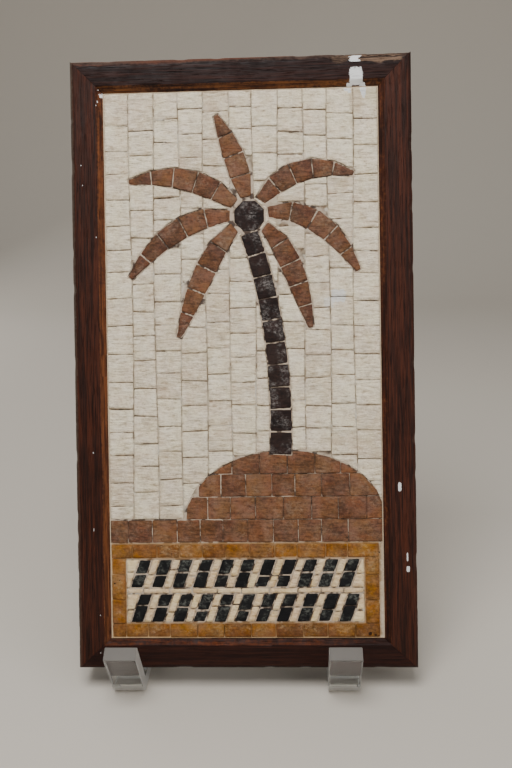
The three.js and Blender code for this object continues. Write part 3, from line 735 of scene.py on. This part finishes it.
# How a stone is divided, how its edge and foot lie, and how far it keeps from the frame
EDGE_PITCH = 0.9 * MM
EDGE_WIDTH = 0.28 * MM
EDGE_WANDER = 0.13 * MM
EDGE_DROP = 0.3 * MM
GRID_SHAKE = 0.16 * MM
STONE_FOOT = 2.2 * MM
FRAME_CLEARANCE = 0.55 * MM


def stone_edge(outline, seed, spread):
    """A stone's outline, eased, spread and wandering a little, and the outward step at each of its points."""
    edge = softened(divided(outline, EDGE_PITCH))
    away = outward(edge)
    wander = noise(edge[:, 0] / (2.2 * MM) + 3 * seed, edge[:, 1] / (2.2 * MM), 31)
    edge = edge + away * (spread + EDGE_WANDER * wander)[:, None]
    return np.clip(edge, PICTURE[0] + FRAME_CLEARANCE, PICTURE[1] - FRAME_CLEARANCE), away


def stone_inside(edge, away, grid):
    """The points inside a stone's outline: a ring near its edge, and a staggered grid, a little shaken."""
    ring = edge - away * EDGE_WIDTH
    ring = ring[inside_depth(ring, edge) > EDGE_WIDTH * 0.8]
    low, high = edge.min(0), edge.max(0)
    rows = np.arange(low[1], high[1], grid[1])
    across, up = np.meshgrid(np.arange(low[0], high[0], grid[0]), rows)
    across = across + grid[0] / 2 * (np.arange(len(rows)) % 2)[:, None]
    spots = np.indices(across.shape)
    shake = np.stack([lattice(*spots, 61), 0.5 * lattice(*spots, 62)], -1)
    inner = (np.stack([across, up], -1) + GRID_SHAKE * shake).reshape(-1, 2)
    return np.concatenate([ring, inner[inside_depth(inner, edge) > EDGE_WIDTH * 2]])


def triangulated(points, count):
    """Points in a plane, and the triangles between them inside the outline that the first of them make."""
    found, _, faces, *_ = delaunay_2d_cdt((points / MM).tolist(), [], [list(range(count))], 1, 1e-7)
    return np.array([(point[0], point[1]) for point in found]) * MM, np.array(faces)


def one_stone(outline, height, seed, roughness, spread, grid, turn_most):
    """A stone: its face triangulated over a grid inside its outline, walls to a flat foot and the foot."""
    edge, away = stone_edge(outline, seed, spread)
    count = len(edge)
    flat, faces = triangulated(np.concatenate([edge, stone_inside(edge, away, grid)]), count)
    depth = np.maximum(inside_depth(flat, edge), 0)
    depth[:count] = 0
    rough = split_face(flat[:, 0], flat[:, 1], seed, turn_most * lattice(seed, 3, 71))
    drop = 1 - eased(depth, -0.35 * EDGE_WIDTH, 1.6 * EDGE_WIDTH)
    out = height - EDGE_DROP * drop + rough * roughness * eased(depth, -0.2 * MM, 0.5 * MM)
    top = np.concatenate([flat, out[:, None]], -1)
    foot = np.concatenate([flat[:count], np.full((count, 1), height - STONE_FOOT)], -1)
    around = np.arange(count)
    after = (around + 1) % count
    walls = np.stack([len(top) + around, len(top) + after, after, around], -1)
    base = triangulated(flat[:count], count)[1][:, ::-1] + len(top)
    # Where painted shade falls: the dropped edge and the deeper low places of the split face, and all of the
    # foot.
    edge_hollow_shade = np.concatenate([np.maximum(drop, eased(-rough, 0.45, 1.1) * 0.6), np.ones(count)])
    return np.concatenate([top, foot]), walls, np.concatenate([faces, base]), edge_hollow_shade


def stones_piece(node, slot, material, roughness=0.12, spread=0.0, grid=(1.2, 0.9), turn_most=0.9):
    """Every stone of a node as one piece, each with its own tone, its measures given in millimetres."""
    stones = STONES[node]
    name = f"{node}_stones" if len(stones) > 1 else f"{node}_stone"
    places, walls, faces, edge_hollow_shades, tones = [], [], [], [], []
    total = 0
    for index, (outline, height) in enumerate(stones):
        seed = index + 13 * len(name) + ord(name[-8])
        stone = one_stone(outline, height, seed, roughness * MM, spread * MM, np.array(grid) * MM, turn_most)
        places.append(stone[0])
        walls.append(stone[1] + total)
        faces.append(stone[2] + total)
        edge_hollow_shades.append(stone[3])
        tones.append(np.full(len(stone[0]), lattice(seed * 5, 11, 77) / 2 + 0.5))
        total += len(stone[0])
    places = np.concatenate(places)
    piece = make_piece(name, from_panel(places), [np.concatenate(walls), np.concatenate(faces)], 55, {
        "panel": places, "tone": np.concatenate(tones), "edge_hollow_shade": np.concatenate(edge_hollow_shades),
    })
    place_piece(piece, slot, node, material)


# Mortar bed

MORTAR_PITCH = 0.95 * MM


def spaced(low, high):
    return np.linspace(low, high, int(round((high - low) / MORTAR_PITCH)) + 1)


def mortar_lie(points):
    """How the mortar lies at each point: its height under the stones round it, and its kinship with them.

    The height is the lowest face within reach less a little, and a millimetre lower still under a stone.
    The kinships run from 1 beside a stone of the tree, or of the border, to 0 a short way off. Sidelong is
    1 where the nearest stone lies to the left or right, and 0 where it lies above or below."""
    level = np.full(len(points), STONE_FACE - 0.2 * MM)
    under = np.zeros(len(points))
    by_tree = np.zeros(len(points))
    by_border = np.zeros(len(points))
    nearest = np.full(len(points), np.inf)
    sidelong = np.zeros(len(points))
    reach = 2.4 * MM
    for node, faces in STONES.items():
        for outline, height in faces:
            low, high = outline.min(0) - reach, outline.max(0) + reach
            close = np.flatnonzero(((points > low) & (points < high)).all(1))
            depth = inside_depth(points[close], outline)
            away = np.abs(nearest_side(points[close], outline))
            nearer = lengths(away) < nearest[close]
            nearest[close[nearer]] = lengths(away[nearer])
            sidelong[close[nearer]] = away[nearer, 0] > away[nearer, 1]
            touching = close[depth > -1.1 * MM]
            level[touching] = np.minimum(level[touching], height)
            under[close] = np.maximum(under[close], eased(depth, 0.25 * MM, 0.7 * MM))
            if node == "ochre_border":
                by_border[close] = np.maximum(by_border[close], 1 - eased(-depth, 0.5 * MM, 1.1 * MM))
            elif node not in ("cream_field", "plaque_ground"):
                by_tree[close] = np.maximum(by_tree[close], 1 - eased(-depth, 1.0 * MM, 2.2 * MM))
    return level - 0.2 * MM - 1.2 * MM * under, by_tree, by_border, sidelong


def mortar_piece():
    """A closed slab on one grid: a front that rises inside the frame's opening, and a trowelled back."""
    low, high = panel_box("mortar_bed")
    (left, bottom), (right, top) = PICTURE
    hair = 0.02 * MM
    columns = np.concatenate([[low[0], left - hair], spaced(left, right), [right + hair, high[0]]])
    rows = np.concatenate([[low[1], bottom - hair], spaced(bottom, top), [top + hair, high[1]]])
    across, up = np.meshgrid(columns, rows)
    edges = np.minimum.reduce([across - left, right - across, up - bottom, top - up])
    uneven = 0.1 * noise(across / (7 * MM), up / (5 * MM), 40)
    uneven = uneven + 0.08 * noise(across / (2 * MM), up / (2 * MM), 41)
    level, by_tree, by_border, sidelong = mortar_lie(np.stack([across, up], -1).reshape(-1, 2))
    front = np.where(edges > -hair / 2, level.reshape(across.shape) + uneven * MM, high[2])
    sweep = 0.22 * noise(across / (26 * MM) + up / (60 * MM), up / (3.1 * MM), 42)
    back = low[2] + (0.3 + sweep + 0.12 * noise(across / (2 * MM), up / (2 * MM), 43)) * MM
    places = np.concatenate([
        np.stack([across, up, front], -1).reshape(-1, 3),
        np.stack([across, up, back], -1).reshape(-1, 3),
    ])
    height, width = across.shape
    fronts = strip_faces(height, width, closed=False)
    backs = fronts[:, ::-1] + height * width
    grid = np.arange(height * width).reshape(height, width)
    rim = np.concatenate([grid[0, :-1], grid[:-1, -1], grid[-1, :0:-1], grid[:0:-1, 0]])
    ahead = np.roll(rim, -1)
    walls = np.stack([rim, rim + height * width, ahead + height * width, ahead], -1)
    by_frame = 1 - eased(edges.ravel(), 0.7 * MM, 1.3 * MM)
    piece = make_piece("mortar_between_stones", from_panel(places), [fronts, backs, walls], 40, {
        "panel": places, "by_tree": np.tile(by_tree, 2), "by_border": np.tile(by_border, 2),
        "by_frame": np.tile(by_frame, 2), "sidelong": np.tile(sidelong, 2),
        "behind": np.repeat([0.0, 1.0], height * width),
    })
    place_piece(piece, "mortar", "mortar_bed", MORTAR)


# Frame
# How the mouldings are divided, how long a run of wear is, and the start, end and breadth of the raw strip
SECTION_PITCH = 0.9 * MM
STATION_PITCH = 1.15 * MM
WEAR_RUN = 34 * MM
RAW_STRIP = (1.5 * MM, 42 * MM, 8.4 * MM)


def rounded(corners, radii, steps, closed=True):
    """A path with each corner swapped for an arc that touches both sides, and the way it runs there."""
    points, ways = [], []
    count = len(corners)
    for index, (corner, radius) in enumerate(zip(corners, radii)):
        if not closed and index in (0, count - 1):
            other = corners[1] - corner if index == 0 else corner - corners[-2]
            points.append(corner)
            ways.append(other / np.hypot(*other))
            continue
        before = corner - corners[index - 1]
        after = corners[(index + 1) % count] - corner
        before, after = before / np.hypot(*before), after / np.hypot(*after)
        turn = math.atan2(before[0] * after[1] - before[1] * after[0], before @ after)
        start = corner - before * radius * math.tan(abs(turn) / 2)
        side = math.copysign(radius, turn) * np.array([-before[1], before[0]])
        for angle in np.linspace(0, turn, steps + 1):
            spin = np.array([[math.cos(angle), -math.sin(angle)], [math.sin(angle), math.cos(angle)]])
            points.append(start + side + spin @ -side)
            ways.append(spin @ before)
    return np.array(points), np.array(ways)


def moulding_section(width, round_over):
    """The moulding's section, inwards and outwards: round outer edge, flat face, bevel and rebate."""
    corners = np.array([
        (0, 0),
        (width - REBATE_WIDTH, 0),
        (width - REBATE_WIDTH, REBATE_DEPTH),
        (width, REBATE_DEPTH),
        (width, FRAME_DEPTH - BEVEL_DROP),
        (width - BEVEL_WIDTH, FRAME_DEPTH),
        (0, FRAME_DEPTH),
    ])
    radii = np.array([0.5, 0.4, 0.3, 0.3, 0.5, 1.2, round_over]) * MM
    return divided(rounded(corners, radii, 5)[0], SECTION_PITCH)


def moulding_wear(distance, inwards, outwards, width, round_width, strip):
    """How deep each point of a moulding is sunk, and how far it's bevel, outer edge, knocked and raw."""
    face = eased(outwards, FRAME_DEPTH - 3.6 * MM, FRAME_DEPTH - 2.8 * MM)
    bevel = eased(inwards, width - BEVEL_WIDTH - 0.9 * MM, width - BEVEL_WIDTH + 0.4 * MM) * face
    outer = eased(-inwards, -round_width, -0.5 * round_width)
    outer = outer * eased(outwards, FRAME_DEPTH - 8 * MM, FRAME_DEPTH - 4 * MM)
    knocks = eased(noise(distance / (6 * MM), inwards / (5 * MM), 50), 0.35, 0.8)
    ragged = layered(distance / (3 * MM), outwards / (1.5 * MM) + inwards / (1.5 * MM), 51)
    sunk = (0.35 * knocks * np.maximum(outer, bevel) + 0.05 * ragged * face) * MM
    raw = np.zeros_like(distance)
    if strip is not None:
        start, end, breadth = strip
        run = eased(distance, start, start + 6 * MM) * eased(-distance, -end, -end + 6 * MM)
        edge = breadth * (0.8 + 0.25 * layered(distance / (5 * MM), outwards / (9 * MM), 52))
        raw = run * eased(-inwards, -edge, -edge * 0.6)
        raw = raw * eased(outwards, FRAME_DEPTH - 4 * MM, FRAME_DEPTH - 2 * MM)
        sunk = sunk + raw * (0.5 + 0.35 * ragged) * MM
    return np.maximum(sunk, 0), bevel, outer, knocks, raw


def moulding_piece(node, material, corner, across, along, meets, worn, round_over=ROUND_OVER, strip=None):
    """A mitred length of moulding: its section carried along from an outer corner of the panel.

    It meets mouldings of two widths at its ends, and worn is the wear of its bevel and the scuffs and painted
    sheen of its outer edge."""
    low, high = panel_box(node)
    width, length = (high - low)[:2] if along[0] == 0 else (high - low)[1::-1]
    length = length + 2 * PIECE_GAP
    section = moulding_section(width, round_over)
    stations = np.linspace(0, 1, int(length / STATION_PITCH))[:, None]
    inwards, outwards = section[None, :, 0], section[None, :, 1]
    start = inwards * meets[0] / width + MITRE_GAP
    end = length - inwards * meets[1] / width - MITRE_GAP
    distance = start + (end - start) * stations
    sunk, bevel, outer, knocks, raw = moulding_wear(
        distance, inwards, outwards, width, round_over * MM, strip)
    middle_in, middle_out = width / 2, FRAME_DEPTH / 2
    moved_in = inwards + np.clip((middle_in - inwards) / middle_in, -1, 1) * sunk * 0.7
    moved_out = outwards + np.clip((middle_out - outwards) / middle_out, -1, 1) * sunk
    flat = np.array(corner) + moved_in[..., None] * np.array(across) + distance[..., None] * np.array(along)
    places = np.concatenate([flat, moved_out[..., None]], -1).reshape(-1, 3)
    rows, columns = distance.shape
    loop = np.arange(columns)
    faces = [strip_faces(rows, columns), loop[::-1][None], (rows - 1) * columns + loop[None]]
    runs = noise(distance / WEAR_RUN + 5 * worn[0], np.zeros_like(distance), 53)
    wear = worn[0] * bevel * (0.9 + 0.3 * runs)
    # Scuffs and painted sheen on the outer rounded edge, by worn's second figure and the knocks.
    scuff_and_sheen = worn[1] * outer + 0.3 * knocks * outer
    grain = np.stack([distance, moved_in, moved_out], -1) + np.array([sum(corner), 0.3 * sum(across), 0])
    piece = make_piece(f"{node}_wood", from_panel(places), faces, 45, {
        "panel": places, "grain": grain.reshape(-1, 3), "wear": wear.ravel(), "scuff_and_sheen": scuff_and_sheen.ravel(),
        "raw": raw.ravel(),
    })
    place_piece(piece, "frame_wood", node, material)


def mouldings():
    """The four lengths of the frame, each from one outer corner of the panel."""
    left, right, bottom, top = frame_boxes()
    stile = (left[1] - left[0])[0]
    rails = [(rail[1] - rail[0])[1] for rail in (bottom, top)]
    near, far, height = left[0][0], right[1][0], top[1][1]
    # Each pair is the bevel's wear and the outer edge's scuffs with painted sheen, strongest on the left
    # stile and top rail and weakest on the bottom rail.
    moulding_piece("frame_left_stile", STILE_WOOD, (near, height), (1, 0), (0, -1), rails[::-1], (0.76, 0.75))
    moulding_piece("frame_right_stile", STILE_WOOD, (far, 0), (-1, 0), (0, 1), rails, (0.45, 0.25))
    moulding_piece("frame_top_rail", TOP_WOOD_SHADED, (far, height), (0, -1), (-1, 0), (stile, stile),
                   (0.72, 0.74), TOP_ROUND_OVER, RAW_STRIP)
    moulding_piece("frame_bottom_rail", BOTTOM_WOOD_SHADED, (near, 0), (0, 1), (1, 0), (stile, stile), (0.55, 0))


# Clear stand


def meeting(first, first_way, second, second_way):
    """Where two lines cross, each given by a point and its way."""
    cross = first_way[0] * second_way[1] - first_way[1] * second_way[0]
    gap = second - first
    return first + first_way * (gap[0] * second_way[1] - gap[1] * second_way[0]) / cross


def stand_line():
    """The sheet's middle line from the side, back and up: lip, ledge, back, top bend and rear leg."""
    lowest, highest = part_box("clear_stand")
    foot = FOOT[1:]
    gap = PIECE_GAP + BEND_RADIUS * math.tan((math.pi / 2 - LEAN) / 2) * math.cos(LEAN)
    up_lip = np.array([-math.sin(LIP_ANGLE), math.cos(LIP_ANGLE)])
    off_lip = np.array([-math.cos(LIP_ANGLE), -math.sin(LIP_ANGLE)])
    up_back = np.array([math.sin(LEAN), math.cos(LEAN)])
    behind = np.array([math.cos(LEAN), -math.sin(LEAN)])
    level = np.array([1.0, 0.0])
    ledge = np.array([0.0, SHEET / 2])
    front = meeting(ledge, level, foot - behind * FRAME_DEPTH + off_lip * (PIECE_GAP + SHEET / 2), up_lip)
    rear = meeting(ledge, level, foot + behind * (gap + SHEET / 2), up_back)
    top = rear + up_back * BACK_LENGTH
    leg_end = np.array([highest.y - SHEET / 2 / math.cos(LEG_SLANT), 0.0])
    return np.array([front + up_lip * LIP_LENGTH, front, rear, top, leg_end])


def insert_point(line, aside, at, point):
    """A line with one more point on a straight run of it, and its sideways steps with one more to match."""
    return np.insert(line, at, point, axis=0), np.insert(aside, at, aside[at - 1], axis=0)


def stand_sides():
    """The sheet's two sides from lip to leg, which end on the table, and where on them the slot ends."""
    corners = stand_line()
    radii = np.array([0, BEND_RADIUS, BEND_RADIUS, TOP_BEND_RADIUS, 0]) + SHEET / 2
    line, way = rounded(corners, radii, BEND_STEPS, closed=False)
    aside = np.stack([-way[:, 1], way[:, 0]], -1) * SHEET / 2
    back_way = corners[3] - corners[2]
    slot_end = 1 + 2 * (BEND_STEPS + 1)
    line, aside = insert_point(line, aside, slot_end, corners[2] + back_way * SLOT_HEIGHT / back_way[1])
    line, aside = insert_point(line, aside, 1, line[1] + (line[0] - line[1]) * BEND_HIGHLIGHT_REACH / LIP_LENGTH)
    sides = np.stack([line - aside, line + aside])
    sides[:, -1] -= way[-1] * sides[:, -1, 1:] / way[-1][1]
    return sides, slot_end + 1


def sheet_faces(index, filled):
    """The faces of a sheet on two grids of points: outside, inside, and its edges round the filled cells."""
    before, after = slice(None, -1), slice(1, None)
    corners = ((before, before), (after, before), (after, after), (before, after))
    outside = np.stack([index[0][corners[at]] for at in (0, 1, 2, 3)], -1)[filled]
    inside = np.stack([index[1][corners[at]] for at in (0, 3, 2, 1)], -1)[filled]
    edges = []
    for step, start, end in (((1, 0), 0, 3), ((-1, 0), 2, 1), ((0, 1), 1, 0), ((0, -1), 3, 2)):
        open_side = filled & ~np.roll(np.pad(filled, 1), step, (0, 1))[1:-1, 1:-1]
        edges.append(np.stack([
            index[side][corners[at]][open_side] for side, at in ((0, start), (0, end), (1, end), (1, start))
        ], -1))
    return [outside, inside, *edges]


def stand_piece():
    """The bent sheet: its middle line offset both ways, carried across two arms and the back between them.

    Its faces are polished, save the outside of each arm's front bend, which takes the sides' rubbed milky
    finish as a painted highlight."""
    sides, slot_end = stand_sides()
    lowest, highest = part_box("clear_stand")
    grid = np.empty((*sides.shape[:2], 4, 3))
    grid[..., 0] = np.array([lowest.x, lowest.x + ARM_WIDTH, highest.x - ARM_WIDTH, highest.x])
    grid[..., 1:] = sides[:, :, None]
    index = np.arange(grid.size // 3).reshape(grid.shape[:3])
    filled = np.ones((sides.shape[1] - 1, 3), bool)
    filled[:slot_end, 1] = False
    outside = np.full(filled.shape, POLISHED_FACE)
    # The outside of each front bend and the lip's last few millimetres: a painted highlight in the milky
    # finish.
    outside[1:BEND_STEPS + 2] = RUBBED_SIDE_AND_HIGHLIGHT
    finishes = [outside[filled], POLISHED_FACE, SAWN_END, SAWN_END, RUBBED_SIDE_AND_HIGHLIGHT, RUBBED_SIDE_AND_HIGHLIGHT]
    piece = make_piece("clear_stand_sheet", grid.reshape(-1, 3), sheet_faces(index, filled), 35,
                       finishes=finishes)
    soften = piece.modifiers.new("polished_edges", "BEVEL")
    soften.width = 0.4 * MM
    soften.segments = 2
    soften.limit_method = "ANGLE"
    soften.angle_limit = math.radians(50)
    place_piece(piece, "clear_acrylic", "clear_stand", POLISHED, SAWN_SHADED, EDGED_AND_HIGHLIGHT)


# Stage, light and camera


def stage_floor():
    """A pale floor that sweeps up behind."""
    sweep = np.linspace(0, math.pi / 2, 17)
    run = np.concatenate([[-3.0], 0.9 + 0.5 * np.sin(sweep), [1.4]])[:, None]
    rise = np.concatenate([[0.0], 0.5 * (1 - np.cos(sweep)), [2.5]])[:, None]
    grid = np.stack(np.broadcast_arrays(np.array([-4.0, 4.0]), run, rise), -1).reshape(-1, 3)
    floor = make_piece("floor", grid, [strip_faces(len(run), 2, closed=False)], 60)
    pale = new_material("pale_floor", {"Base Color": srgb(204, 196, 184), "Roughness": 0.9})[0]
    floor.data.materials.append(pale)


def stage_light(name, place, turn, size, power):
    """A soft square light, turned by angles in degrees."""
    light = bpy.data.lights.new(name, "AREA")
    light.size = size
    light.energy = power
    add_object(name, light, place, [math.radians(angle) for angle in turn])


def stage():
    """The floor, three soft lights, a dim room and the camera."""
    stage_floor()
    stage_light("skylight", (-0.12, -0.42, 0.95), (22, -8, 0), 0.5, 8.0)
    stage_light("window", (0.85, -0.75, 0.6), (64, 0, 48), 0.8, 4.8)
    stage_light("bounce", (-0.7, 0.7, 0.5), (-66, 0, 45), 0.7, 2.6)
    world = bpy.data.worlds.new("room")
    world.use_nodes = True
    background = world.node_tree.nodes["Background"].inputs
    background["Color"].default_value = (0.93, 0.93, 0.92, 1)
    background["Strength"].default_value = 0.3
    bpy.context.scene.world = world
    lens = bpy.data.cameras.new("camera")
    lens.lens = CAMERA_LENS
    lens.sensor_width = SENSOR
    bpy.context.scene.camera = add_object("camera", lens, CAMERA_PLACE, CAMERA_TURN)


stage()
stones_piece("cream_field", "cream_stone", CREAM, 0.4, 0.21, (1.4, 0.6), 0.16)
stones_piece("plaque_ground", "cream_stone", WARM_CREAM, 0.2, 0.1, (1.2, 0.6), 0.16)
stones_piece("terracotta_ground", "terracotta_stone", BROWN, spread=0.29)
stones_piece("palm_trunk", "dark_stone", DARK, spread=0.1)
stones_piece("palm_crown", "dark_stone", DARK)
stones_piece("ochre_border", "ochre_stone", OCHRE, spread=0.26)
for frond in FRONDS:
    stones_piece(frond, "terracotta_stone", TERRACOTTA, spread=0.12)
for stroke in STROKES:
    stones_piece(stroke, "dark_stone", BLACK, 0.1)
mortar_piece()
mouldings()
stand_piece()
